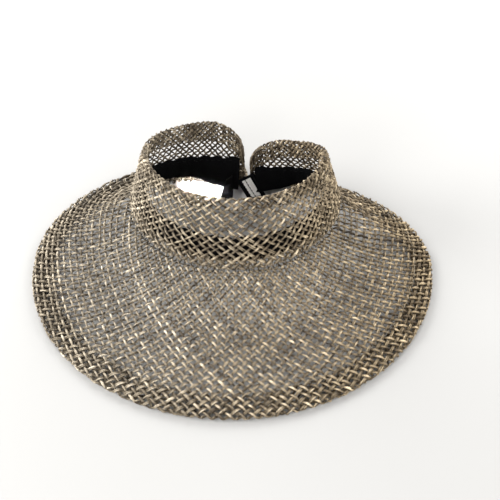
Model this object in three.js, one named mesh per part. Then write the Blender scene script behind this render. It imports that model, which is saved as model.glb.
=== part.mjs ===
// Roll-up sun visor of woven seagrass, lying on its brim, in millimetres.
// +Z is up, the front of the brim points to -Y, and the crown opens at the back (+Y).
//
// The cloth follows three curves that share one azimuth angle: 0 is the front, positive
// angles go round the wearer's left side (+X) and 180 degrees is the back.
//   rim    the top edge of the crown
//   foot   the crease where the crown meets the brim
//   edge   the outer edge of the brim, on the floor
import * as THREE from "three";

// ---------------------------------------------------------------- driving dimensions
const brimHalfWidth = 186;
const brimFrontReach = 187;
const brimBackReachRight = 136;
const brimBackReachLeft = 158;

const footHalfWidth = 102;
const footCentreY = 78;
const footFrontReach = 116;
const footBackReach = 42;
const footFrontHeight = 31;
const footBackHeight = 8;
// Both cut ends of the crown curl in towards the head at their foot.
const footDent = 12;
const footDentAngle = 38;

const rimHalfWidth = 85;
const rimCentreY = 70;
const rimFrontReach = 70;
const rimBackReachRight = 42;
const rimBackReachLeft = 50;
const rimFrontHeight = 83;
const rimBackDropRight = 19;
const rimBackDropLeft = 3;

const clothThickness = 3;
const pieceGap = 0.35;
const footGap = 1.6;

// The crown and brim are cut open at the back, and the cut's corners are rounded.
const slitAzimuth = 173.5;
const slitHalfAngle = 2;
const crownCornerAngle = 26;
const crownCornerDrop = 0.48;
const brimCornerAngle = 16;
const brimCornerCut = 0.7;

const edgeRollWidth = 5;
const brimHemWidth = 27;
const hemStepWidth = 0.5;
const hemThickness = 2.4;
const crownHemShare = 0.2;
const endHemAngle = 8;
const endHemFoot = 0.9;
const hemMitreAngle = 0.4;

const bandThickness = 2.6;
const bandTopAtFront = 0.56;
const bandTopAtBack = 0.54;
const bandHeightAtEnds = 0.42;
const bandHeightAtSides = 0.32;
const bandNarrowingAngle = 45;
const bandEndAngle = 2.5;

const threadRadius = 0.5;
const threadSides = 2;
const hemStitchShare = 0.85;
const seamShare = 0.93;
const bandStitchShare = 0.04;
const threadEndAngle = 3;
const rightTabCover = 12;

// Each tab is a twisted strap: two corners at its sewn root and two at its free tip.
const tabThickness = 1.6;
const tabTipRound = 0.14;
const rightTabRoot = [[29, 97, 5.5], [17, 100.5, 30]];
const rightTabTip = [[12, 91, 4], [1, 100, 19.6]];
const hookStripStarts = [0.26, 0.59];
const hookStripShares = [0.26, 0.14];
const hookStripThickness = 1.2;
const leftTabRoot = [[-3, 102, 28.6], [-9.4, 100.4, 22.5]];
const leftTabTip = [[-3.5, 91, 4.5], [-15, 92, 4]];
const loopPatchSpan = [0.35, 0.9];
const loopPatchThickness = 1;
const trimMargin = 0.08;
const tackSpan = [0.06, 0.12];
const tackThickness = 1;

const clothSteps = 84;
const crownRows = 5;
const bandSteps = 60;
const threadSteps = 90;
const tabSteps = 12;
const trimSteps = 3;

// ---------------------------------------------------------------- materials
function paint(colour, roughness) {
  return new THREE.MeshStandardMaterial({ color: colour, roughness, metalness: 0 });
}

const seagrass = paint(0x9c8d72, 0.85);
const blackFabric = paint(0x141414, 0.92);
const hookTape = paint(0xe6e2dc, 0.7);
const sewingThread = paint(0x8a7c62, 0.8);
const blackThread = paint(0x1c1c1c, 0.8);

// ---------------------------------------------------------------- the cloth's three curves
const radians = THREE.MathUtils.degToRad;

function mix(from, to, share) {
  return from + (to - from) * share;
}

// Half an ellipse in front of its centre and another half behind it, at one height.
function ringPoint(azimuth, halfWidth, centreY, frontReach, backReach, height) {
  const sideways = Math.sin(radians(azimuth));
  const backwards = -Math.cos(radians(azimuth));
  const reach = backwards < 0 ? frontReach : backReach;
  return new THREE.Vector3(halfWidth * sideways, centreY + reach * backwards, height);
}

function rimPoint(azimuth) {
  const back = Math.max(0, -Math.cos(radians(azimuth))) ** 1.5;
  const drop = azimuth < 0 ? rimBackDropLeft : rimBackDropRight;
  const reach = azimuth < 0 ? rimBackReachLeft : rimBackReachRight;
  const height = rimFrontHeight - drop * back;
  return ringPoint(azimuth, rimHalfWidth, rimCentreY, rimFrontReach, reach, height);
}

function backShare(azimuth) {
  return (1 - Math.cos(radians(azimuth))) / 2;
}

function footPoint(azimuth) {
  const height = mix(footFrontHeight, footBackHeight, backShare(azimuth));
  const toSlit = Math.min(slitAzimuth - azimuth, azimuth - slitAzimuth + 360);
  const dentShare = Math.cos(radians(90 * Math.min(1, toSlit / footDentAngle))) ** 2;
  const point = ringPoint(azimuth, footHalfWidth, footCentreY, footFrontReach, footBackReach, height);
  point.y -= footDent * dentShare;
  return point;
}

const edgeHeight = clothThickness / 2 + hemThickness;

function edgePoint(azimuth) {
  const reach = azimuth < 0 ? brimBackReachLeft : brimBackReachRight;
  return ringPoint(azimuth, brimHalfWidth, 0, brimFrontReach, reach, edgeHeight);
}

// ---------------------------------------------------------------- the two cloth panels
const leftEnd = slitAzimuth - 360 + slitHalfAngle;
const rightEnd = slitAzimuth - slitHalfAngle;

// 0 away from the slit, rising to 1 at a cloth end along a quarter of an ellipse.
function cornerRise(azimuth, cornerAngle) {
  const toEnd = Math.min(azimuth - leftEnd, rightEnd - azimuth);
  const inCorner = THREE.MathUtils.clamp((cornerAngle - toEnd) / cornerAngle, 0, 1);
  return 1 - Math.sqrt(1 - inCorner * inCorner);
}

function crownTop(azimuth) {
  return crownCornerDrop * cornerRise(azimuth, crownCornerAngle);
}

function brimReach(azimuth) {
  return 1 - brimCornerCut * cornerRise(azimuth, brimCornerAngle);
}

function crownMiddle(azimuth, share) {
  return rimPoint(azimuth).lerp(footPoint(azimuth), share);
}

function brimMiddle(azimuth, share) {
  return footPoint(azimuth).lerp(edgePoint(azimuth), share);
}

// A point lifted off a surface along its outward normal, which is on the sky side of the cloth.
function lifted(surface, azimuth, share, lift) {
  const step = 0.01;
  const across = surface(azimuth, share + step).sub(surface(azimuth, share - step));
  const around = surface(azimuth + step, share).sub(surface(azimuth - step, share));
  const normal = across.cross(around).normalize();
  return surface(azimuth, share).addScaledVector(normal, lift);
}

// ---------------------------------------------------------------- solids swept along the azimuth
function solidFromRings(rings) {
  const count = rings[0].length;
  const positions = rings.flat().flatMap((point) => point.toArray());
  const index = [];
  for (let ring = 0; ring + 1 < rings.length; ring += 1) {
    for (let corner = 0; corner < count; corner += 1) {
      const here = ring * count + corner;
      const beside = ring * count + ((corner + 1) % count);
      index.push(here, beside, here + count);
      index.push(beside, beside + count, here + count);
    }
  }
  const lastRing = (rings.length - 1) * count;
  for (let rung = 0; rung + 1 < count / 2; rung += 1) {
    const opposite = count - 1 - rung;
    index.push(rung, opposite, rung + 1);
    index.push(rung + 1, opposite, opposite - 1);
    index.push(lastRing + rung, lastRing + rung + 1, lastRing + opposite);
    index.push(lastRing + rung + 1, lastRing + opposite - 1, lastRing + opposite);
  }
  const geometry = new THREE.BufferGeometry();
  geometry.setAttribute("position", new THREE.Float32BufferAttribute(positions, 3));
  geometry.setIndex(index);
  geometry.computeVertexNormals();
  return geometry;
}

// A ring is an upper row of points followed by the lower row on the way back.
function sweep(fromAzimuth, toAzimuth, steps, ringAt) {
  const rings = [];
  for (let step = 0; step <= steps; step += 1) {
    rings.push(ringAt(mix(fromAzimuth, toAzimuth, step / steps)));
  }
  return solidFromRings(rings);
}

function sheetRing(surface, azimuth, fromShare, toShare, rows, outerLift, innerLift) {
  const outer = [];
  const inner = [];
  for (let row = 0; row <= rows; row += 1) {
    const share = mix(fromShare, toShare, row / rows);
    outer.push(lifted(surface, azimuth, share, outerLift));
    inner.unshift(lifted(surface, azimuth, share, innerLift));
  }
  return [...outer, ...inner];
}

function mesh(name, geometry, material) {
  const piece = new THREE.Mesh(geometry, material);
  piece.name = name;
  return piece;
}

// ---------------------------------------------------------------- woven pieces
const halfCloth = clothThickness / 2;
const crownSlant = rimPoint(0).distanceTo(footPoint(0));
const crownFootShare = 1 - footGap / crownSlant;

function crownPanel() {
  const ringAt = (azimuth) =>
    sheetRing(crownMiddle, azimuth, crownTop(azimuth), crownFootShare, crownRows, halfCloth, -halfCloth);
  return mesh("crown", sweep(leftEnd, rightEnd, clothSteps, ringAt), seagrass);
}

// The brim is one sheet whose outer margin is turned under, so that margin is twice as thick.
function brimRing(azimuth) {
  const reach = brimReach(azimuth);
  const width = footPoint(azimuth).distanceTo(edgePoint(azimuth)) * reach;
  const start = footGap / width;
  const hemStart = Math.max(0.5, 1 - brimHemWidth / width);
  const rollStart = 1 - edgeRollWidth / width;
  const stations = [start, hemStart / 2, hemStart - hemStepWidth / width, hemStart, rollStart, 1];
  const outer = [];
  const inner = [];
  for (const station of stations) {
    const share = Math.max(station, start) * reach;
    const upper = lifted(brimMiddle, azimuth, share, halfCloth);
    const depth = station >= hemStart ? clothThickness + hemThickness : clothThickness;
    const lower = lifted(brimMiddle, azimuth, share, halfCloth - depth);
    lower.z = station >= rollStart ? 0 : Math.max(lower.z, 0);
    outer.push(upper);
    inner.unshift(lower);
  }
  return [...outer, ...inner];
}

function brimPanel() {
  return mesh("brim", sweep(leftEnd, rightEnd, clothSteps, brimRing), seagrass);
}

// The turned-in layer inside the crown's top edge.
const hemOuterLift = -halfCloth - pieceGap;
const hemInnerLift = hemOuterLift - hemThickness;

function crownTopHem() {
  const ringAt = (azimuth) => {
    const top = crownTop(azimuth);
    return sheetRing(crownMiddle, azimuth, top, top + crownHemShare, 2, hemOuterLift, hemInnerLift);
  };
  const from = leftEnd + endHemAngle + hemMitreAngle;
  const to = rightEnd - endHemAngle - hemMitreAngle;
  return mesh("crown_top_hem", sweep(from, to, clothSteps, ringAt), seagrass);
}

// The turned-in layer down one end of the crown, beside the slit.
function crownEndHem(name, from, to) {
  const ringAt = (azimuth) =>
    sheetRing(crownMiddle, azimuth, crownTop(azimuth), endHemFoot, 6, hemOuterLift, hemInnerLift);
  return mesh(name, sweep(from, to, 5, ringAt), seagrass);
}

// ---------------------------------------------------------------- sweatband
const bandOuterLift = hemInnerLift - pieceGap;
const bandInnerLift = bandOuterLift - bandThickness;

function bandTop(azimuth) {
  return mix(bandTopAtFront, bandTopAtBack, backShare(azimuth));
}

// The band is tall at its two ends, where the tabs hang from it, and narrower all the way round.
function bandBottom(azimuth) {
  const toEnd = Math.min(azimuth - leftEnd, rightEnd - azimuth);
  const endShare = Math.cos(radians(90 * Math.min(1, toEnd / bandNarrowingAngle))) ** 2;
  return bandTop(azimuth) + mix(bandHeightAtSides, bandHeightAtEnds, endShare);
}

function sweatband() {
  const ringAt = (azimuth) =>
    sheetRing(crownMiddle, azimuth, bandTop(azimuth), bandBottom(azimuth), 3, bandOuterLift, bandInnerLift);
  const geometry = sweep(leftEnd + bandEndAngle, rightEnd - bandEndAngle, bandSteps, ringAt);
  return mesh("sweatband", geometry, blackFabric);
}

// ---------------------------------------------------------------- rows of stitching
function threadAlong(name, pointAt, fromAzimuth, toAzimuth, material) {
  const route = [];
  for (let step = 0; step <= threadSteps; step += 1) {
    route.push(pointAt(mix(fromAzimuth, toAzimuth, step / threadSteps)));
  }
  const path = new THREE.CatmullRomCurve3(route);
  const section = new THREE.Shape();
  section.absarc(0, 0, threadRadius, 0, 2 * Math.PI, false);
  const options = { steps: threadSteps, curveSegments: threadSides, extrudePath: path, bevelEnabled: false };
  return mesh(name, new THREE.ExtrudeGeometry(section, options), material);
}

const threadLift = halfCloth + pieceGap + threadRadius;

function crownHemThread() {
  const pointAt = (azimuth) =>
    lifted(crownMiddle, azimuth, crownTop(azimuth) + crownHemShare * hemStitchShare, threadLift);
  const from = leftEnd + endHemAngle;
  const to = rightEnd - endHemAngle;
  return threadAlong("crown_hem_thread", pointAt, from, to, sewingThread);
}

function brimHemThread() {
  const pointAt = (azimuth) => {
    const reach = brimReach(azimuth);
    const width = footPoint(azimuth).distanceTo(edgePoint(azimuth)) * reach;
    const share = Math.max(0.55, 1 - brimHemWidth * hemStitchShare / width) * reach;
    return lifted(brimMiddle, azimuth, share, threadLift);
  };
  const from = leftEnd + endHemAngle;
  const to = rightEnd - endHemAngle;
  return threadAlong("brim_hem_thread", pointAt, from, to, sewingThread);
}

function footSeamThread() {
  const pointAt = (azimuth) => lifted(crownMiddle, azimuth, seamShare, threadLift);
  const from = leftEnd + threadEndAngle;
  const to = rightEnd - threadEndAngle;
  return threadAlong("foot_seam_thread", pointAt, from, to, sewingThread);
}

function sweatbandThread() {
  const lift = bandInnerLift - pieceGap - threadRadius;
  const pointAt = (azimuth) => lifted(crownMiddle, azimuth, bandTop(azimuth) + bandStitchShare, lift);
  const from = leftEnd + bandEndAngle + threadEndAngle;
  const to = rightEnd - bandEndAngle - threadEndAngle - rightTabCover;
  return threadAlong("sweatband_thread", pointAt, from, to, blackThread);
}

// ---------------------------------------------------------------- closure tabs
// A strap's surface: along runs from root to tip, and share crosses from its first to its second edge.
function strapSurface(root, tip) {
  const corners = [...root, ...tip].map((corner) => new THREE.Vector3(...corner));
  return (along, share) => {
    const firstEdge = corners[0].clone().lerp(corners[2], along);
    const secondEdge = corners[1].clone().lerp(corners[3], along);
    return firstEdge.lerp(secondEdge, share);
  };
}

function tipInset(along) {
  const inRound = THREE.MathUtils.clamp((along - 1 + tabTipRound) / tabTipRound, 0, 1);
  return tabTipRound * (1 - Math.sqrt(1 - inRound * inRound));
}

function strap(name, surface) {
  const ringAt = (along) => {
    const inset = tipInset(along);
    return sheetRing(surface, along, inset, 1 - inset, 2, tabThickness / 2, -tabThickness / 2);
  };
  return mesh(name, sweep(0, 1, tabSteps, ringAt), blackFabric);
}

// A flat piece sewn on the strap's head side, over part of its length.
function trim(name, surface, span, thickness, material) {
  const near = tabThickness / 2 + pieceGap;
  const ringAt = (along) =>
    sheetRing(surface, along, trimMargin, 1 - trimMargin, 2, near + thickness, near);
  return mesh(name, sweep(span[0], span[1], trimSteps, ringAt), material);
}

function rightTabPieces() {
  const surface = strapSurface(rightTabRoot, rightTabTip);
  const pieces = [strap("right_tab", surface)];
  hookStripStarts.forEach((start, number) => {
    const span = [start, start + hookStripShares[number]];
    pieces.push(trim(`hook_strip_${number + 1}`, surface, span, hookStripThickness, hookTape));
  });
  pieces.push(trim("right_tab_tack", surface, tackSpan, tackThickness, blackThread));
  return pieces;
}

function leftTabPieces() {
  const surface = strapSurface(leftTabRoot, leftTabTip);
  return [
    strap("left_tab", surface),
    trim("loop_patch", surface, loopPatchSpan, loopPatchThickness, blackFabric),
    trim("left_tab_tack", surface, tackSpan, tackThickness, blackThread),
  ];
}

// ---------------------------------------------------------------- assembly
const sunVisor = new THREE.Group();
sunVisor.add(crownPanel());
sunVisor.add(brimPanel());
sunVisor.add(crownTopHem());
sunVisor.add(crownEndHem("crown_end_hem_left", leftEnd, leftEnd + endHemAngle));
sunVisor.add(crownEndHem("crown_end_hem_right", rightEnd - endHemAngle, rightEnd));
sunVisor.add(sweatband());
sunVisor.add(crownHemThread());
sunVisor.add(brimHemThread());
sunVisor.add(footSeamThread());
sunVisor.add(sweatbandThread());
sunVisor.add(...rightTabPieces());
sunVisor.add(...leftTabPieces());

// The origin is under the middle of the overall box, on the floor.
const overall = new THREE.Box3().setFromObject(sunVisor);
const middle = overall.getCenter(new THREE.Vector3());
sunVisor.position.set(-middle.x, -middle.y, -overall.min.z);

export default sunVisor;
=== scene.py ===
"""Looks for the roll-up seagrass sun visor: woven cords, black sweatband and closing tabs."""

import math

import bpy
import numpy as np
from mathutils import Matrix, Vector


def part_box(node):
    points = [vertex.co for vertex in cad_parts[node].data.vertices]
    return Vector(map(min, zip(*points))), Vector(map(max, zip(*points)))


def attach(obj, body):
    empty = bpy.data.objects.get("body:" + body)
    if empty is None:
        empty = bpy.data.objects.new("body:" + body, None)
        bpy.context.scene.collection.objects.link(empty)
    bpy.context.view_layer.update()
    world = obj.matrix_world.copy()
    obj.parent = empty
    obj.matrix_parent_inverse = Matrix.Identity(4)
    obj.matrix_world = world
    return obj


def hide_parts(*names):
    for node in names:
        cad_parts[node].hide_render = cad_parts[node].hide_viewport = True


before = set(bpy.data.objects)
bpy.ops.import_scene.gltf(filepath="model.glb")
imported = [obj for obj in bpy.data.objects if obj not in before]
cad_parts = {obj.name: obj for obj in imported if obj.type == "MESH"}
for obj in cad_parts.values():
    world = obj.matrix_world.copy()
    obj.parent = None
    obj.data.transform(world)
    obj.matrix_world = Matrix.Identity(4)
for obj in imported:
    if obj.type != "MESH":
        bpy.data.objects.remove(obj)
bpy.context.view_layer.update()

MM = 0.001

# ------------------------------------------------------------------ the cloth's driving sizes
# Lengths are in mm and angles in degrees. Azimuth 0 is the front, and +X is at azimuth 90.
BRIM_HALF_WIDTH = 186
BRIM_FRONT_REACH = 187
BRIM_BACK_REACH = {"left": 158, "right": 136}
FOOT_HALF_WIDTH = 102
FOOT_CENTRE_Y = 78
FOOT_FRONT_REACH = 116
FOOT_BACK_REACH = 42
FOOT_FRONT_HEIGHT = 31
FOOT_BACK_HEIGHT = 8
FOOT_DENT = 12
FOOT_DENT_ANGLE = 38
RIM_HALF_WIDTH = 85
RIM_CENTRE_Y = 70
RIM_FRONT_REACH = 70
RIM_BACK_REACH = {"left": 50, "right": 42}
RIM_FRONT_HEIGHT = 83
RIM_BACK_DROP = {"left": 3, "right": 19}
EDGE_HEIGHT = 3.9
SLIT_AZIMUTH = 173.5
SLIT_HALF_ANGLE = 2
CROWN_CORNER_ANGLE = 26
CROWN_CORNER_DROP = 0.48
BRIM_CORNER_ANGLE = 16
BRIM_CORNER_CUT = 0.7

# The part's origin is under the middle of its overall box, and the cloth's own Y zero is off it.
Y_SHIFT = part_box("brim")[0][1] / MM + BRIM_FRONT_REACH

LEFT_END = math.radians(SLIT_AZIMUTH - 360 + SLIT_HALF_ANGLE)
RIGHT_END = math.radians(SLIT_AZIMUTH - SLIT_HALF_ANGLE)

# ------------------------------------------------------------------ the weave
# Lengths are in mm, and the stretches and the squeeze are ratios.
CORD_PITCH = 5.5
WEFT_RADIUS = 0.92
WARP_RADIUS = 0.56
WARP_PAIR_OFFSET = 0.6
CORD_SIDES = 6
STEPS_PER_PITCH = 4
WEAVE_HEIGHT = 0.76
FOLD_RADIUS = 1.6
BRIM_HEM = 27
CROWN_HEM_AT_FRONT = 14
CROWN_HEM_AT_BACK = 23
END_HEM = 12
SEAM_OVERLAP = 11
SEAM_STEP = 3.2
FLAT_FOOT_RADIUS = 345
CROWN_HALF_HEIGHT = 33
CROWN_STRETCH_FRONT = 1.15
CROWN_STRETCH_BACK = 0.72
CROWN_SQUEEZE_UP = 0.84
SEED = 20


# ------------------------------------------------------------------ the cloth's surface
def by_side(azimuth, sizes):
    return np.where(azimuth < 0, sizes["left"], sizes["right"])


def front_to_back(azimuth, front, back):
    """A value that eases from front to back, both ways round the head."""
    return front + (back - front) * (1 - np.cos(azimuth)) / 2


def to_cloth_end(azimuth):
    """Angle to the nearer of the cloth's two ends, at the slit. It is below 0 past an end."""
    return np.minimum(azimuth - LEFT_END, RIGHT_END - azimuth)


def ring(azimuth, half_width, centre_y, front_reach, back_reach, height):
    """Half an ellipse in front of its centre and another half behind it."""
    backwards = -np.cos(azimuth)
    reach = np.where(backwards < 0, front_reach, back_reach)
    y = centre_y + reach * backwards + Y_SHIFT
    return np.stack([half_width * np.sin(azimuth), y, height + 0 * azimuth], -1)


def rim(azimuth):
    drop = by_side(azimuth, RIM_BACK_DROP) * np.maximum(0, -np.cos(azimuth)) ** 1.5
    back = by_side(azimuth, RIM_BACK_REACH)
    return ring(azimuth, RIM_HALF_WIDTH, RIM_CENTRE_Y, RIM_FRONT_REACH, back, RIM_FRONT_HEIGHT - drop)


def foot(azimuth):
    """The seam of crown and brim, which curls in towards the head on both sides of the slit."""
    height = front_to_back(azimuth, FOOT_FRONT_HEIGHT, FOOT_BACK_HEIGHT)
    points = ring(azimuth, FOOT_HALF_WIDTH, FOOT_CENTRE_Y, FOOT_FRONT_REACH, FOOT_BACK_REACH, height)
    slit = math.radians(SLIT_AZIMUTH)
    to_slit = np.minimum(np.abs(slit - azimuth), np.abs(azimuth - slit + 2 * math.pi))
    dent = np.cos(math.pi / 2 * np.minimum(1, to_slit / math.radians(FOOT_DENT_ANGLE))) ** 2
    points[..., 1] -= FOOT_DENT * dent
    return points


def edge(azimuth):
    back = by_side(azimuth, BRIM_BACK_REACH)
    return ring(azimuth, BRIM_HALF_WIDTH, 0, BRIM_FRONT_REACH, back, EDGE_HEIGHT)


def corner_rise(azimuth, corner_angle):
    """0 away from the slit, rising to 1 at a cloth end along a quarter of an ellipse."""
    corner = math.radians(corner_angle)
    inside = np.clip((corner - to_cloth_end(azimuth)) / corner, 0, 1)
    return 1 - np.sqrt(1 - inside**2)


def crown_top(azimuth):
    return CROWN_CORNER_DROP * corner_rise(azimuth, CROWN_CORNER_ANGLE)


def brim_reach(azimuth):
    return 1 - BRIM_CORNER_CUT * corner_rise(azimuth, BRIM_CORNER_ANGLE)


def crown_middle(azimuth, share):
    share = np.asarray(share)[..., None]
    return rim(azimuth) * (1 - share) + foot(azimuth) * share


def brim_middle(azimuth, share):
    share = np.asarray(share)[..., None]
    return foot(azimuth) * (1 - share) + edge(azimuth) * share


def lifted(surface, azimuth, share, lift):
    """Points on a surface, moved along its sky-side normal."""
    step = 0.0005
    across = surface(azimuth, share + step) - surface(azimuth, share - step)
    around = surface(azimuth + step, share) - surface(azimuth - step, share)
    normal = np.cross(across, around)
    normal /= np.linalg.norm(normal, axis=-1, keepdims=True)
    return surface(azimuth, share) + normal * np.asarray(lift)[..., None]


def length_between(a, b):
    return np.linalg.norm(a - b, axis=-1)


def way_along(route):
    """Length along a route of points, from its start to each of them."""
    return np.concatenate([[0], np.cumsum(length_between(route[1:], route[:-1]))])


# ------------------------------------------------------------------ flat patterns of the two cloths
# The brim is woven flat as a C-shaped piece, whose cords all run at 45 degrees to its middle. A flat
# point is polar: its radius counts the way out and its angle the way round. The crown is a straight
# strip cut on the bias and pulled longer, so its cords lie flatter than 45 degrees.
AZIMUTHS = np.radians(np.linspace(-200, 190, 1561))
SIDE_LEAN = math.radians(27)
LEAN_FADE = math.radians(25)


def lean(azimuth):
    """How much further round the brim's edge a line ends that leaves the foot squarely."""
    return SIDE_LEAN * np.sin(azimuth) * np.clip(to_cloth_end(azimuth) / LEAN_FADE, 0, 1)


def way_from_front(route):
    way = way_along(route)
    return way - np.interp(0, AZIMUTHS, way)


def crown_ways():
    """Way round the crown's flat strip, which is pulled longer in front than at the back."""
    way = way_from_front((foot(AZIMUTHS) + rim(AZIMUTHS)) / 2)
    stretch = front_to_back(AZIMUTHS, CROWN_STRETCH_FRONT, CROWN_STRETCH_BACK)
    flat_way = np.cumsum(np.gradient(way) / stretch)
    return flat_way - np.interp(0, AZIMUTHS, flat_way)


BRIM_MIDDLE = (foot(AZIMUTHS) + edge(AZIMUTHS + lean(AZIMUTHS))) / 2
FRONT_WIDTH = length_between(foot(np.array([0.0])), edge(np.array([0.0])))[0]
BRIM_ANGLES = way_from_front(BRIM_MIDDLE) / (FLAT_FOOT_RADIUS + FRONT_WIDTH / 2)
CROWN_WAYS = crown_ways()


def folded(past_fold):
    """How far a point goes back and down once its cloth has turned over a fold."""
    past_bend = past_fold + FOLD_RADIUS
    turn = np.clip(past_bend / FOLD_RADIUS, 0, math.pi)
    before = np.minimum(past_bend, 0)
    after = np.maximum(past_bend - FOLD_RADIUS * math.pi, 0)
    outwards = FOLD_RADIUS * (np.sin(turn) - 1) + before - after
    return outwards, FOLD_RADIUS * (np.cos(turn) - 1)


# Millimetres round the crown per radian, beside the slit.
END_SPEED = 95


def cloth(azimuth, way_out, lift):
    """Position of cloth that is way_out mm past the foot (negative up the crown), folds included."""
    past_end = np.maximum(azimuth - RIGHT_END, LEFT_END - azimuth) * END_SPEED
    end_step, end_drop = folded(past_end)
    nearer_right = azimuth - RIGHT_END > LEFT_END - azimuth
    limit = np.where(nearer_right, RIGHT_END, LEFT_END)
    azimuth = limit + np.where(nearer_right, 1, -1) * end_step / END_SPEED
    end_facing = np.where(past_end > 0, -1, 1)

    slant = length_between(rim(azimuth), foot(azimuth))
    crown_length = slant * (1 - crown_top(azimuth))
    crown_step, crown_drop = folded(-way_out - crown_length)
    crown_share = 1 - (crown_length + crown_step) / slant

    width = length_between(edge(azimuth), foot(azimuth))
    brim_length = width * brim_reach(azimuth)
    brim_step, brim_drop = folded(way_out - brim_length)
    brim_share = (brim_length + brim_step) / width

    above_foot = way_out < 0
    layer_drop = np.where(above_foot, crown_drop, brim_drop)
    past_fold = np.where(above_foot, -way_out - crown_length, way_out - brim_length)
    facing = np.where(past_fold > 0, -1, 1) * end_facing
    height = end_drop + layer_drop + lift * facing
    crown_place = lifted(crown_middle, azimuth, crown_share, height)
    brim_place = lifted(brim_middle, azimuth, brim_share, height)
    return np.where(above_foot[..., None], crown_place, brim_place)


def cloth_limits(azimuth):
    """Furthest way up the crown and out on the brim that cloth reaches, hems included."""
    inside = np.clip(azimuth, LEFT_END, RIGHT_END)
    crown_length = length_between(rim(inside), foot(inside)) * (1 - crown_top(inside))
    brim_length = length_between(edge(inside), foot(inside)) * brim_reach(inside)
    return crown_length, brim_length


# ------------------------------------------------------------------ materials
def new_material(name, roughness, shine=0.3):
    material = bpy.data.materials.new(name)
    material.use_nodes = True
    shader = material.node_tree.nodes["Principled BSDF"]
    shader.inputs["Roughness"].default_value = roughness
    shader.inputs["Specular IOR Level"].default_value = shine
    return material, material.node_tree, shader


def add_node(tree, kind, **values):
    node = tree.nodes.new(kind)
    for name, value in values.items():
        node.inputs[name.replace("_", " ")].default_value = value
    return node


def add_ramp(tree, factor, stops):
    node = tree.nodes.new("ShaderNodeValToRGB")
    ramp = node.color_ramp
    while len(ramp.elements) < len(stops):
        ramp.elements.new(0.5)
    for element, (position, colour) in zip(ramp.elements, stops):
        element.position = position
        element.color = (*colour, 1)
    tree.links.new(factor, node.inputs["Fac"])
    return node.outputs["Color"]


def add_sum(tree, first, second, weight):
    node = tree.nodes.new("ShaderNodeMath")
    node.operation = "MULTIPLY_ADD"
    tree.links.new(second, node.inputs[0])
    node.inputs[1].default_value = weight
    tree.links.new(first, node.inputs[2])
    return node.outputs[0]


def add_bump(tree, shader, height, distance, strength):
    node = tree.nodes.new("ShaderNodeBump")
    node.inputs["Distance"].default_value = distance
    node.inputs["Strength"].default_value = strength
    tree.links.new(height, node.inputs["Height"])
    tree.links.new(node.outputs["Normal"], shader.inputs["Normal"])


def object_noise(tree, scale, detail):
    place = tree.nodes.new("ShaderNodeTexCoord")
    noise = add_node(tree, "ShaderNodeTexNoise", Scale=scale, Detail=detail)
    tree.links.new(place.outputs["Object"], noise.inputs["Vector"])
    return noise.outputs["Fac"]


SEAGRASS_STOPS = [
    (0.0, (0.02, 0.014, 0.008)),
    (0.2, (0.07, 0.054, 0.036)),
    (0.38, (0.165, 0.137, 0.098)),
    (0.58, (0.36, 0.31, 0.235)),
    (0.85, (0.74, 0.66, 0.53)),
]


def browned(tree, colour):
    """Turns a colour browner towards the wearer's left and in soft patches."""
    place = tree.nodes.new("ShaderNodeTexCoord")
    split = tree.nodes.new("ShaderNodeSeparateXYZ")
    tree.links.new(place.outputs["Object"], split.inputs["Vector"])
    across = tree.nodes.new("ShaderNodeMapRange")
    across.inputs["From Min"].default_value = -0.1
    across.inputs["From Max"].default_value = 0.16
    across.inputs["To Max"].default_value = 0.75
    tree.links.new(split.outputs["X"], across.inputs["Value"])
    share = add_sum(tree, across.outputs["Result"], object_noise(tree, 28.0, 2.0), 0.3)
    tint = tree.nodes.new("ShaderNodeMixRGB")
    tint.blend_type = "MULTIPLY"
    tint.inputs["Color2"].default_value = (0.92, 0.8, 0.6, 1)
    tree.links.new(share, tint.inputs["Fac"])
    tree.links.new(colour, tint.inputs["Color1"])
    return tint.outputs["Color"]


def seagrass():
    """Dry twisted leaf: fibres run along the cord, and the tone changes from cord to cord, with painted
    highlights on the crossings and painted shade on the crown's back.
    """
    material, tree, shader = new_material("seagrass", 0.72)
    # cord_tone holds each cord's own tone plus painted highlights and painted shade.
    tone = tree.nodes.new("ShaderNodeAttribute")
    tone.attribute_name = "cord_tone"
    place = tree.nodes.new("ShaderNodeAttribute")
    place.attribute_name = "cord_place"
    stretch = add_node(tree, "ShaderNodeMapping", Scale=(0.35, 9.0, 1.0))
    tree.links.new(place.outputs["Vector"], stretch.inputs["Vector"])
    fibres = add_node(tree, "ShaderNodeTexNoise", Scale=1.0, Detail=3.0)
    tree.links.new(stretch.outputs["Vector"], fibres.inputs["Vector"])
    factor = add_sum(tree, tone.outputs["Fac"], fibres.outputs["Fac"], 0.5)
    mottled = add_sum(tree, factor, object_noise(tree, 380.0, 2.0), 0.2)
    colour = add_ramp(tree, mottled, SEAGRASS_STOPS)
    tree.links.new(browned(tree, colour), shader.inputs["Base Color"])
    add_bump(tree, shader, fibres.outputs["Fac"], 0.0004, 0.5)
    return material


# A wave texture of scale 1 repeats every pi / 10 metres.
WAVE_SCALE_PER_THREAD = math.pi / 10


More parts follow.
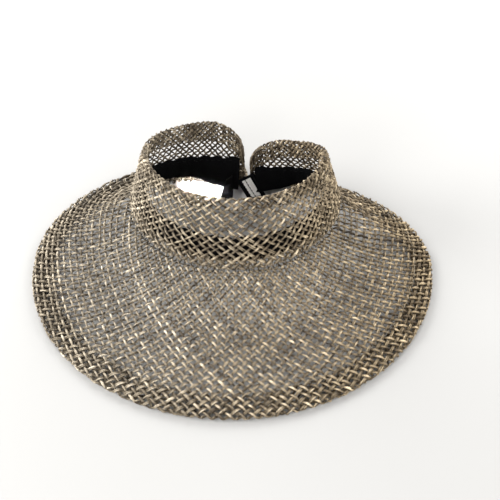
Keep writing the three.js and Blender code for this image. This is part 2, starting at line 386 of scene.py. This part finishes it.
def woven_fabric(name, dark, light, threads_per_metre, shine=0.3):
    """A fine plain-woven fabric, as two crossing sets of ribs with a little fluff."""
    material, tree, shader = new_material(name, 0.85, shine)
    place = tree.nodes.new("ShaderNodeTexCoord")
    ribs = []
    for direction in ("X", "Z"):
        wave = tree.nodes.new("ShaderNodeTexWave")
        wave.bands_direction = direction
        wave.inputs["Scale"].default_value = threads_per_metre * WAVE_SCALE_PER_THREAD
        wave.inputs["Distortion"].default_value = 1.5
        tree.links.new(place.outputs["Object"], wave.inputs["Vector"])
        ribs.append(wave.outputs["Fac"])
    both = add_sum(tree, ribs[0], ribs[1], 1.0)
    fluffy = add_sum(tree, both, object_noise(tree, 900.0, 3.0), 1.2)
    # The ribs and the fluff add up to more than 1, so the colours follow 0.4 of their sum.
    toned_down = add_sum(tree, fluffy, fluffy, -0.6)
    colour = add_ramp(tree, toned_down, [(0.0, dark), (1.0, light)])
    tree.links.new(colour, shader.inputs["Base Color"])
    add_bump(tree, shader, fluffy, 0.0003, 0.6)
    return material


SEAGRASS = seagrass()
BLACK_FABRIC = woven_fabric("black_fabric", (0.001, 0.001, 0.001), (0.004, 0.004, 0.0045), 1400, 0.04)
HOOK_TAPE = woven_fabric("hook_tape", (0.62, 0.6, 0.57), (0.86, 0.84, 0.8), 1600)
STRAW_THREAD = woven_fabric("straw_thread", (0.13, 0.11, 0.08), (0.24, 0.21, 0.16), 2500)
BLACK_THREAD = woven_fabric("black_thread", (0.002, 0.002, 0.002), (0.008, 0.008, 0.008), 2500, 0.1)


# ------------------------------------------------------------------ cords
# The fibres' pattern starts this far on from cord to cord.
FIBRE_STEP = 7.0
# In the bake's map: the gap between cords in a row, in mm, and the share of a row that a cord fills.
MAP_GAP = 0.6
MAP_FILL = 0.92


class CordBatch:
    """Collects cords and makes one mesh of them."""

    def __init__(self, name):
        self.name = name
        self.points = []
        self.faces = []
        self.tones = []
        self.places = []
        self.layout = []
        self.count = 0

    def add(self, path, radii, twist, tone, lobe=0.16):
        """A tube along path, in mm. tone and radii have a value for each point of the path."""
        rings = len(path)
        way = way_along(path)
        tangent = np.gradient(path, axis=0)
        tangent /= np.linalg.norm(tangent, axis=1, keepdims=True)
        sideways = np.cross(tangent, np.array([0.0, 0.001, 1.0]))
        sideways /= np.linalg.norm(sideways, axis=1, keepdims=True)
        normal = np.cross(sideways, tangent)
        turn = np.arange(CORD_SIDES) * 2 * math.pi / CORD_SIDES
        angle = turn[None, :] + twist * way[:, None]
        reach = radii[:, None] * (1 + lobe * np.cos(2 * turn))[None, :]
        offset = sideways[:, None, :] * (np.cos(angle) * reach)[..., None]
        offset += normal[:, None, :] * (np.sin(angle) * reach)[..., None]
        self.points.append((path[:, None, :] + offset).reshape(-1, 3))

        ring_start = np.arange(rings - 1)[:, None] * CORD_SIDES + self.count
        side = np.arange(CORD_SIDES)[None, :]
        beside = (side + 1) % CORD_SIDES
        quads = [ring_start + side, ring_start + beside]
        quads += [quads[1] + CORD_SIDES, quads[0] + CORD_SIDES]
        self.faces.append(np.stack(quads, -1).reshape(-1, 4))
        self.tones.append(np.repeat(tone, CORD_SIDES))
        self.layout.append(self.corner_places(way))
        self.count += rings * CORD_SIDES

    def corner_places(self, way):
        """(way along the cord in mm, share of a turn round it) for each corner of each face."""
        corners = np.empty((len(way) - 1, CORD_SIDES, 4, 2))
        corners[:, :, :2, 0] = way[:-1, None, None]
        corners[:, :, 2:, 0] = way[1:, None, None]
        side = np.arange(CORD_SIDES)[None, :, None] / CORD_SIDES
        corners[:, :, (0, 3), 1] = side
        corners[:, :, (1, 2), 1] = side + 1 / CORD_SIDES
        return corners.reshape(-1, 2)

    def add_places(self, mesh):
        """The fibres' coordinates, and a map for the bake with the cords in rows one above another."""
        numbered = [np.column_stack([c, np.full(len(c), FIBRE_STEP * i)]) for i, c in enumerate(self.layout)]
        places = mesh.attributes.new("cord_place", "FLOAT_VECTOR", "CORNER")
        places.data.foreach_set("vector", np.concatenate(numbered).astype(np.float32).ravel())
        row_length = max(c[:, 0].max() for c in self.layout) + 1
        used, row, rows = 0.0, 0, []
        for corners in self.layout:
            needed = corners[:, 0].max() + MAP_GAP
            if used + needed > row_length:
                used, row = 0.0, row + 1
            rows.append(corners * [1, MAP_FILL] + [used, row + 0.04])
            used += needed
        spread = np.concatenate(rows) / [row_length * 1.001, row + 1]
        layer = mesh.uv_layers.new(name="OFBake")
        layer.data.foreach_set("uv", spread.astype(np.float32).ravel())

    def build(self, material, body="visor"):
        points = np.concatenate(self.points) * MM
        faces = np.concatenate(self.faces)
        mesh = bpy.data.meshes.new(self.name)
        mesh.from_pydata(points.tolist(), [], faces.tolist())
        mesh.polygons.foreach_set("use_smooth", np.ones(len(faces), dtype=bool))
        tones = mesh.attributes.new("cord_tone", "FLOAT", "POINT")
        tones.data.foreach_set("value", np.concatenate(self.tones).astype(np.float32))
        self.add_places(mesh)
        mesh.materials.append(material)
        piece = bpy.data.objects.new(self.name, mesh)
        bpy.context.scene.collection.objects.link(piece)
        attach(piece, body)
        return piece


def soft_noise(random, count, period, size):
    """Smooth random values along a cord, one for each of its points."""
    knots = max(4, int(count / period) + 3)
    values = random.normal(0, size, knots)
    place = np.linspace(0, knots - 1.001, count)
    low = place.astype(int)
    share = place - low
    share = share * share * (3 - 2 * share)
    return values[low] * (1 - share) + values[np.minimum(low + 1, knots - 1)] * share


# ------------------------------------------------------------------ the weave
DIAGONAL = math.sqrt(0.5)
FLAT_REACH = 640
CORDS_EACH_WAY = 110
SHORTEST_RUN = 4
DARK_CORD_SHARE = 0.05
DARK_CORD_TONE = -0.16
# Painted shade: how much darker the crown's cords turn towards its back.
BACK_CROWN_SHADE_TONE = -0.1


def on_brim(flat_x, flat_y):
    """Azimuth and way out from the foot of a point of the brim's flat pattern."""
    out = np.hypot(flat_x, flat_y) - FLAT_FOOT_RADIUS
    start = np.interp(np.arctan2(flat_x, -flat_y), BRIM_ANGLES, AZIMUTHS, left=-9, right=9)
    flat_width = length_between(edge(start + lean(start)), foot(start))
    share = np.clip(out / flat_width, 0, 1)
    azimuth = start + share * lean(start)
    width = length_between(edge(azimuth), foot(azimuth))
    return azimuth, share * width + np.minimum(out, 0) + np.maximum(out - flat_width, 0)


def on_crown(flat_x, flat_y):
    """Azimuth and way out from the foot (so negative) of a point of the crown's flat strip."""
    azimuth = np.interp(flat_x, CROWN_WAYS, AZIMUTHS, left=-9, right=9)
    return azimuth, flat_y * CROWN_SQUEEZE_UP - CROWN_HALF_HEIGHT


def flat_cord(random, placing, family, number):
    """A cord's azimuth, way out and weave height, from its straight line in a flat pattern."""
    along = np.arange(-FLAT_REACH, FLAT_REACH, CORD_PITCH / STEPS_PER_PITCH)
    count = len(along)
    aside = number * CORD_PITCH + random.normal(0, 0.25) + soft_noise(random, count, 24, 0.38)
    slope = 1 if family == "warp" else -1
    parity = 1 if number % 2 == 0 else -1
    wave = slope * parity * np.cos(math.pi * along / CORD_PITCH)
    strands = []
    for offset in (-WARP_PAIR_OFFSET, WARP_PAIR_OFFSET) if family == "warp" else (0,):
        beside = aside + offset + soft_noise(random, count, 12, 0.12)
        flat_x = (along + beside) * DIAGONAL
        flat_y = slope * (along - beside) * DIAGONAL
        strands.append(placing(flat_x, flat_y))
    return strands, wave


def runs(inside):
    """Each unbroken stretch of points that are inside, as a slice, but for the very short ones."""
    edges = np.flatnonzero(np.diff(np.concatenate([[0], inside.astype(int), [0]])))
    return [slice(a, b) for a, b in zip(edges[::2], edges[1::2]) if b - a >= SHORTEST_RUN]


def cord_tones_and_painted_light(random, count, wave):
    """Painted highlight on top of each crossing and painted shade where a cord dives, with a tone that
    differs from cord to cord.
    """
    base = random.normal(0.0, 0.06)
    if random.random() < DARK_CORD_SHARE:
        base += DARK_CORD_TONE
    floats = np.repeat(random.normal(0, 0.1, count // 4 + 2), 4)[:count]
    # 0.13 * wave is a painted highlight on the floats and painted shade in the dives.
    return base + floats + soft_noise(random, count, 40, 0.06) + 0.13 * wave


def add_run(batch, random, radius, azimuth, way_out, wave, inner_layer):
    """One unbroken cord, with painted shade that darkens it towards the crown's back."""
    count = len(azimuth)
    lift = WEAVE_HEIGHT * np.sign(wave) * np.abs(wave) ** 0.8 - inner_layer
    path = cloth(azimuth, way_out, lift)
    radii = radius * (1 + random.normal(0, 0.08) + soft_noise(random, count, 6, 0.1))
    radii = np.clip(radii * (1 + 0.1 * wave), 0.6 * radius, 1.5 * radius)
    radii[[0, -1]] *= 0.35
    path[:, 2] = np.maximum(path[:, 2], radii)
    # Painted shade on the crown's back, strongest straight behind, none on the brim.
    painted_back_shade = BACK_CROWN_SHADE_TONE * np.clip(-np.cos(azimuth), 0, 1) * (way_out < 0)
    batch.add(path, radii, random.choice([0.9, 1.1]), cord_tones_and_painted_light(random, count, wave) + painted_back_shade)


def weave(part, placing):
    """Both families of cords of one cloth, from hem to hem, in a left and a right piece for each."""
    random = np.random.default_rng(SEED)
    batches = {}
    for family, radius in (("warp", WARP_RADIUS), ("weft", WEFT_RADIUS)):
        for number in range(-CORDS_EACH_WAY, CORDS_EACH_WAY + 1):
            strands, wave = flat_cord(random, placing, family, number)
            for azimuth, way_out in strands:
                for stretch in runs(within_cloth(part, azimuth, way_out)):
                    side = "left" if azimuth[stretch].mean() < 0 else "right"
                    name = f"{part}_{family}_{side}"
                    batch = batches.setdefault(name, CordBatch(name))
                    out = way_out[stretch]
                    inner_layer = SEAM_STEP * np.clip(1 - out / SEAM_STEP, 0, 1) * (part == "brim")
                    add_run(batch, random, radius, azimuth[stretch], out, wave[stretch], inner_layer)
    return {name: batch.build(SEAGRASS) for name, batch in batches.items()}


def within_cloth(part, azimuth, way_out):
    """Whether each point is on the named cloth, its hems and its part of the foot seam included."""
    crown_length, brim_length = cloth_limits(azimuth)
    end_room = END_HEM / END_SPEED
    inside = (azimuth > LEFT_END - end_room) & (azimuth < RIGHT_END + end_room)
    if part == "crown":
        hem = front_to_back(azimuth, CROWN_HEM_AT_FRONT, CROWN_HEM_AT_BACK)
        return inside & (way_out > -crown_length - hem) & (way_out < 0)
    return inside & (way_out > -SEAM_OVERLAP) & (way_out < brim_length + BRIM_HEM)


for part, placing in (("crown", on_crown), ("brim", on_brim)):
    for name, piece in weave(part, placing).items():
        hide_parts(part)


# ------------------------------------------------------------------ fabric strips
def thick_strip(name, surface, alongs, bounds, thickness, material, body, rows=6):
    """A closed strip of fabric with soft edges.

    surface(along, across, lift) gives a point in mm; bounds(along) gives the two edges' across.
    """
    first, last = bounds(alongs)
    edge_room = 0.35 * thickness
    loop = [(share, 0.5) for share in np.linspace(0, 1, rows)]
    loop += [(1.0, 0.0)]
    loop += [(share, -0.5) for share in np.linspace(1, 0, rows)]
    loop += [(0.0, 0.0)]
    columns = []
    for share, level in loop:
        across = first + (last - first) * share
        point = surface(alongs, across, level * thickness + 0 * alongs)
        if level == 0.0:
            inner = surface(alongs, across + (first - last) * (share - 0.5) * 0.1, 0 * alongs)
            outwards = point - inner
            point = point + edge_room * outwards / np.linalg.norm(outwards, axis=1, keepdims=True)
        columns.append(point)
    rings = np.stack(columns, 1)
    around = len(loop)
    start = np.arange(len(alongs) - 1)[:, None] * around
    side = np.arange(around)[None, :]
    beside = (side + 1) % around
    quads = np.stack([start + side, start + beside, start + around + beside, start + around + side], -1)
    ends = [list(range(around)), [len(rings) * around - 1 - k for k in range(around)]]
    mesh = bpy.data.meshes.new(name)
    mesh.from_pydata((rings.reshape(-1, 3) * MM).tolist(), [], quads.reshape(-1, 4).tolist() + ends)
    mesh.polygons.foreach_set("use_smooth", np.ones(len(mesh.polygons), dtype=bool))
    mesh.materials.append(material)
    piece = bpy.data.objects.new(name, mesh)
    bpy.context.scene.collection.objects.link(piece)
    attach(piece, body)
    return piece


# ------------------------------------------------------------------ sweatband
BAND_THICKNESS = 2.4
BAND_LIFT = -5.9
BAND_TOP_AT_FRONT = 0.56
BAND_TOP_AT_BACK = 0.54
BAND_HEIGHT_AT_ENDS = 0.42
BAND_HEIGHT_AT_SIDES = 0.32
BAND_NARROWING_ANGLE = math.radians(45)
BAND_END = math.radians(2.5)
BAND_STAND_OFF = 7
BAND_STAND_OFF_ANGLE = math.radians(35)


def band_bounds(azimuth):
    """The band's wavy top and bottom, as shares of the way down the crown."""
    top = front_to_back(azimuth, BAND_TOP_AT_FRONT, BAND_TOP_AT_BACK)
    scallop = 0.012 * np.sin(azimuth * 41) + 0.008 * np.sin(azimuth * 23 + 1)
    narrowing = np.clip(to_cloth_end(azimuth) / BAND_NARROWING_ANGLE, 0, 1)
    end_share = np.cos(math.pi / 2 * narrowing) ** 2
    height = BAND_HEIGHT_AT_SIDES + (BAND_HEIGHT_AT_ENDS - BAND_HEIGHT_AT_SIDES) * end_share
    return top + scallop, top + height + 0.006 * np.sin(azimuth * 17)


def band_surface(azimuth, share, lift):
    """The band is sewn along its top, and near the slit its lower edge stands off the crown."""
    ripple = 0.45 * np.sin(azimuth * 31 + share * 3) * np.sin(azimuth * 7)
    top, bottom = band_bounds(azimuth)
    lowness = np.clip((share - top) / (bottom - top), 0, 1)
    nearness = np.clip(1 - to_cloth_end(azimuth) / BAND_STAND_OFF_ANGLE, 0, 1)
    stand_off = BAND_STAND_OFF * lowness**1.5 * np.sin(math.pi / 2 * nearness) ** 2
    return lifted(crown_middle, azimuth, share, BAND_LIFT + lift + ripple - stand_off)


def sweatband():
    azimuths = np.linspace(LEFT_END + BAND_END, RIGHT_END - BAND_END, 420)
    piece = thick_strip(
        "sweatband_cloth", band_surface, azimuths, band_bounds, BAND_THICKNESS, BLACK_FABRIC, "visor"
    )
    top, bottom = band_bounds(azimuths)
    middle = band_surface(azimuths, (top + bottom) / 2, 0 * azimuths)
    length = length_between(middle[1:], middle[:-1]).sum() * MM
    upper = band_surface(azimuths, top, 0 * azimuths)
    lower = band_surface(azimuths, bottom, 0 * azimuths)
    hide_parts("sweatband")


# ------------------------------------------------------------------ rows of stitches
STITCH_LENGTH = 3.6
STITCH_GAP = 2.4
THREAD_RADIUS = 0.32


def stitch_row(name, route, material, node):
    """Running stitches along a route of points in mm: each one rises from the cloth and dives back."""
    batch = CordBatch(name)
    way = way_along(route)
    random = np.random.default_rng(SEED)
    starts = np.arange(2.0, way[-1] - STITCH_LENGTH - 1, STITCH_LENGTH + STITCH_GAP)
    for start in starts:
        places = start + np.linspace(0, STITCH_LENGTH, 7)
        path = np.stack([np.interp(places, way, route[:, axis]) for axis in range(3)], -1)
        radii = np.full(7, THREAD_RADIUS)
        radii[[0, -1]] *= 0.4
        batch.add(path, radii, 3.0, np.full(7, random.normal(0.1, 0.05)), 0.1)
    piece = batch.build(material)
    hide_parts(node)


STITCH_LIFT = 1.75
HEM_ROW_START = 0.14
SEAM_ROW_START = 0.05
CROWN_HEM_ROW = 0.17
BRIM_HEM_ROW = 23
FOOT_SEAM_ROW = 0.95
BAND_ROW = 0.04
# The band's row stops short of the right tab.
RIGHT_TAB_ROOM = 0.26


def crown_hem_route():
    azimuth = np.linspace(LEFT_END + HEM_ROW_START, RIGHT_END - HEM_ROW_START, 500)
    share = crown_top(azimuth) + CROWN_HEM_ROW
    return lifted(crown_middle, azimuth, share, STITCH_LIFT + 0 * azimuth)


def brim_hem_route():
    azimuth = np.linspace(LEFT_END + HEM_ROW_START, RIGHT_END - HEM_ROW_START, 900)
    width = length_between(edge(azimuth), foot(azimuth)) * brim_reach(azimuth)
    share = np.maximum(0.55, 1 - BRIM_HEM_ROW / width) * brim_reach(azimuth)
    return lifted(brim_middle, azimuth, share, STITCH_LIFT + 0 * azimuth)


def foot_seam_route():
    azimuth = np.linspace(LEFT_END + SEAM_ROW_START, RIGHT_END - SEAM_ROW_START, 600)
    share = FOOT_SEAM_ROW + 0 * azimuth
    return lifted(crown_middle, azimuth, share, STITCH_LIFT + 0 * azimuth)


def band_route():
    start = LEFT_END + BAND_END + SEAM_ROW_START
    azimuth = np.linspace(start, RIGHT_END - BAND_END - RIGHT_TAB_ROOM, 500)
    top, _ = band_bounds(azimuth)
    return band_surface(azimuth, top + BAND_ROW, -BAND_THICKNESS / 2 - 0.25 + 0 * azimuth)


def stitches():
    stitch_row("crown_hem_stitches", crown_hem_route(), STRAW_THREAD, "crown_hem_thread")
    stitch_row("brim_hem_stitches", brim_hem_route(), STRAW_THREAD, "brim_hem_thread")
    stitch_row("foot_seam_stitches", foot_seam_route(), STRAW_THREAD, "foot_seam_thread")
    stitch_row("sweatband_stitches", band_route(), BLACK_THREAD, "sweatband_thread")


# ------------------------------------------------------------------ closing tabs
# A tab's corners are the two of its sewn root and the two of its free tip.
TAB_THICKNESS = 1.6
TAB_SAG = 0.8
TAB_TIP_ROUND = 0.14
RIGHT_TAB_CORNERS = [[29, 97, 5.5], [17, 100.5, 30], [12, 91, 4], [1, 100, 19.6]]
LEFT_TAB_CORNERS = [[-3, 102, 28.6], [-9.4, 100.4, 22.5], [-3.5, 91, 4.5], [-15, 92, 4]]
HOOK_STRIPS = [("hook_strip_1", 0.26, 0.52), ("hook_strip_2", 0.59, 0.73)]
LOOP_PATCH = (0.35, 0.9)
TRIM_MARGIN = 0.08
TRIM_THICKNESS = 0.8


def tab_surface(corners):
    """A strap between four corners, which bulges a little in its middle."""
    root_a, root_b, tip_a, tip_b = (np.array(c, float) + [0, Y_SHIFT, 0] for c in corners)

    def middle(along, across):
        along = np.asarray(along)[..., None]
        across = np.asarray(across)[..., None]
        near = root_a * (1 - along) + tip_a * along
        far = root_b * (1 - along) + tip_b * along
        return near * (1 - across) + far * across

    def surface(along, across, lift):
        lengthwise = TAB_SAG * np.sin(math.pi * np.clip(along, 0, 1))
        bulge = lengthwise * np.sin(math.pi * np.clip(across, 0, 1))
        return lifted(middle, along, across, lift + bulge)

    return surface


def tab_bounds(along):
    """A tab's two long edges, which round off towards its tip."""
    turned = np.clip((along - 1 + TAB_TIP_ROUND) / TAB_TIP_ROUND, 0, 1)
    inset = TAB_TIP_ROUND * (1 - np.sqrt(1 - turned**2))
    return inset, 1 - inset


def tab(name, surface, node, body):
    """A tab's strap, and its flat width and length in metres."""
    alongs = 1 - np.linspace(1, 0, 40) ** 1.5
    piece = thick_strip(name, surface, alongs, tab_bounds, TAB_THICKNESS, BLACK_FABRIC, body, rows=9)
    ends = np.array([0.0, 1.0])
    lines = [surface(ends, ends * 0 + across, ends * 0) for across in (0, 0.5, 1)]
    one_edge, centre_line, other_edge = lines
    length = length_between(centre_line[1], centre_line[0])
    width = length_between(one_edge, other_edge).mean()
    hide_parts(node)
    return piece, (width * MM, length * MM)


def trim_piece(name, surface, node, span, material, body, ragged):
    """A flat piece on a tab's head side, from edge to edge of the tab and over span of its length."""

    def turned(across, along, lift):
        return surface(along, across, TAB_THICKNESS / 2 + 0.75 + lift)

    def bounds(across):
        wobble = ragged * np.sin(across * 45) + 0.5 * ragged * np.sin(across * 97 + 1)
        return span[0] + 0 * across, span[1] + wobble

    across = np.linspace(TRIM_MARGIN, 1 - TRIM_MARGIN, 40)
    piece = thick_strip(name, turned, across, bounds, TRIM_THICKNESS, material, body, rows=4)
    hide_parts(node)
    return piece


def tack(name, surface, node, body):
    """A bar tack: thread zigzagging over the tab's root."""
    across = np.linspace(0.12, 0.88, 60)
    along = 0.09 + 0.035 * np.sign(np.sin(np.arange(60) * math.pi / 2 + 0.5))
    path = surface(along, across, TAB_THICKNESS / 2 + 0.45 + 0 * along)
    batch = CordBatch(name)
    batch.add(path, np.full(60, 0.4), 0.0, np.full(60, 0.1), 0.0)
    piece = batch.build(BLACK_THREAD, body)
    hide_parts(node)
    return piece


def right_tab():
    surface = tab_surface(RIGHT_TAB_CORNERS)
    strips = [
        trim_piece(f"{node}_tape", surface, node, (start, stop), HOOK_TAPE, "right_tab", 0.02)
        for node, start, stop in HOOK_STRIPS
    ]
    thread = tack("right_tab_bar_tack", surface, "right_tab_tack", "right_tab")
    strap, flat = tab("right_tab_strap", surface, "right_tab", "right_tab")


def left_tab():
    surface = tab_surface(LEFT_TAB_CORNERS)
    patch = trim_piece(
        "loop_patch_tape", surface, "loop_patch", LOOP_PATCH, BLACK_FABRIC, "left_tab", 0.0
    )
    thread = tack("left_tab_bar_tack", surface, "left_tab_tack", "left_tab")
    strap, flat = tab("left_tab_strap", surface, "left_tab", "left_tab")


sweatband()
stitches()
right_tab()
left_tab()

# The crown's turned-in layers are the far ends of the crown's own cords.
for hem in ("crown_top_hem", "crown_end_hem_left", "crown_end_hem_right"):
    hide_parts(hem)


# ------------------------------------------------------------------ floor, light and camera
def floor():
    material, tree, shader = new_material("floor", 0.6)
    shade = object_noise(tree, 3.0, 2.0)
    colour = add_ramp(tree, shade, [(0.0, (0.365, 0.36, 0.35)), (1.0, (0.385, 0.38, 0.37))])
    tree.links.new(colour, shader.inputs["Base Color"])
    bpy.ops.mesh.primitive_plane_add(size=8)
    plane = bpy.context.object
    plane.name = "floor"
    plane.data.materials.append(material)
    return plane


def aimed(light, target):
    """Turns a light to face a target, and hides the lamp itself from the camera."""
    direction = Vector(target) - light.location
    light.rotation_euler = direction.to_track_quat("-Z", "Y").to_euler()
    light.visible_camera = False
    bpy.context.scene.collection.objects.link(light)


OPENING_LIGHT_POWER = 0.1
OPENING_LIGHT_SIZE = (0.045, 0.009)
OPENING_LIGHT_SPREAD = 1.5
OPENING_LIGHT_PLACE = (-0.008, -0.32, 0.423)
OPENING_LIGHT_TARGET = (-0.034, 0.126, 0.0)
OPENING_LIGHT_TURN = math.radians(-13)
AREA_LIGHT_SIZE = 0.9
LOW_LIGHT_REACH = 1.5
LOW_LIGHT_HEIGHT = 0.62
# Power of each low light, at even steps round from the back by the visor's +X side.
LOW_LIGHT_POWERS = (27, 21, 15, 19, 44, 30)
KEY_PLACE = (-0.9, -0.7, 1.6)
KEY_POWER = 7
SKY_STRENGTH = 0.22


def area_light(name, place, power):
    data = bpy.data.lights.new(name, "AREA")
    data.shape = "DISK"
    data.size = AREA_LIGHT_SIZE
    data.energy = power
    light = bpy.data.objects.new(name, data)
    light.location = place
    aimed(light, (0, 0, 0))


def opening_light():
    """A narrow beam over the front of the crown, on the floor inside it."""
    data = bpy.data.lights.new("opening_light", "AREA")
    data.shape = "ELLIPSE"
    data.size, data.size_y = OPENING_LIGHT_SIZE
    data.spread = math.radians(OPENING_LIGHT_SPREAD)
    data.energy = OPENING_LIGHT_POWER
    light = bpy.data.objects.new("opening_light", data)
    light.location = OPENING_LIGHT_PLACE
    aimed(light, OPENING_LIGHT_TARGET)
    light.rotation_euler.rotate_axis("Z", OPENING_LIGHT_TURN)


def studio():
    world = bpy.data.worlds.new("studio")
    world.use_nodes = True
    sky = world.node_tree.nodes["Background"]
    sky.inputs["Color"].default_value = (1, 1, 1, 1)
    sky.inputs["Strength"].default_value = SKY_STRENGTH
    bpy.context.scene.world = world
    for number, power in enumerate(LOW_LIGHT_POWERS):
        azimuth = 2 * math.pi * (number + 0.5) / len(LOW_LIGHT_POWERS)
        sideways = LOW_LIGHT_REACH * math.sin(azimuth)
        backwards = LOW_LIGHT_REACH * math.cos(azimuth)
        area_light(f"low_light_{number}", (sideways, backwards, LOW_LIGHT_HEIGHT), power)
    area_light("key", KEY_PLACE, KEY_POWER)
    opening_light()
    floor()
    bpy.context.scene.view_settings.view_transform = "Standard"


CAMERA_AZIMUTH = math.radians(1.6)
CAMERA_ELEVATION = math.radians(43)
CAMERA_DISTANCE = 1.235
CAMERA_TARGET = np.array([0.0157, 0.0379, 0.0])


def camera():
    data = bpy.data.cameras.new("camera")
    data.sensor_width = 36
    data.lens = 93.6
    seen_from = np.array([
        math.sin(CAMERA_AZIMUTH) * math.cos(CAMERA_ELEVATION),
        -math.cos(CAMERA_AZIMUTH) * math.cos(CAMERA_ELEVATION),
        math.sin(CAMERA_ELEVATION),
    ])
    item = bpy.data.objects.new("camera", data)
    item.location = CAMERA_TARGET + seen_from * CAMERA_DISTANCE
    item.rotation_euler = (math.pi / 2 - CAMERA_ELEVATION, 0, CAMERA_AZIMUTH)
    bpy.context.scene.collection.objects.link(item)
    bpy.context.scene.camera = item


studio()
camera()
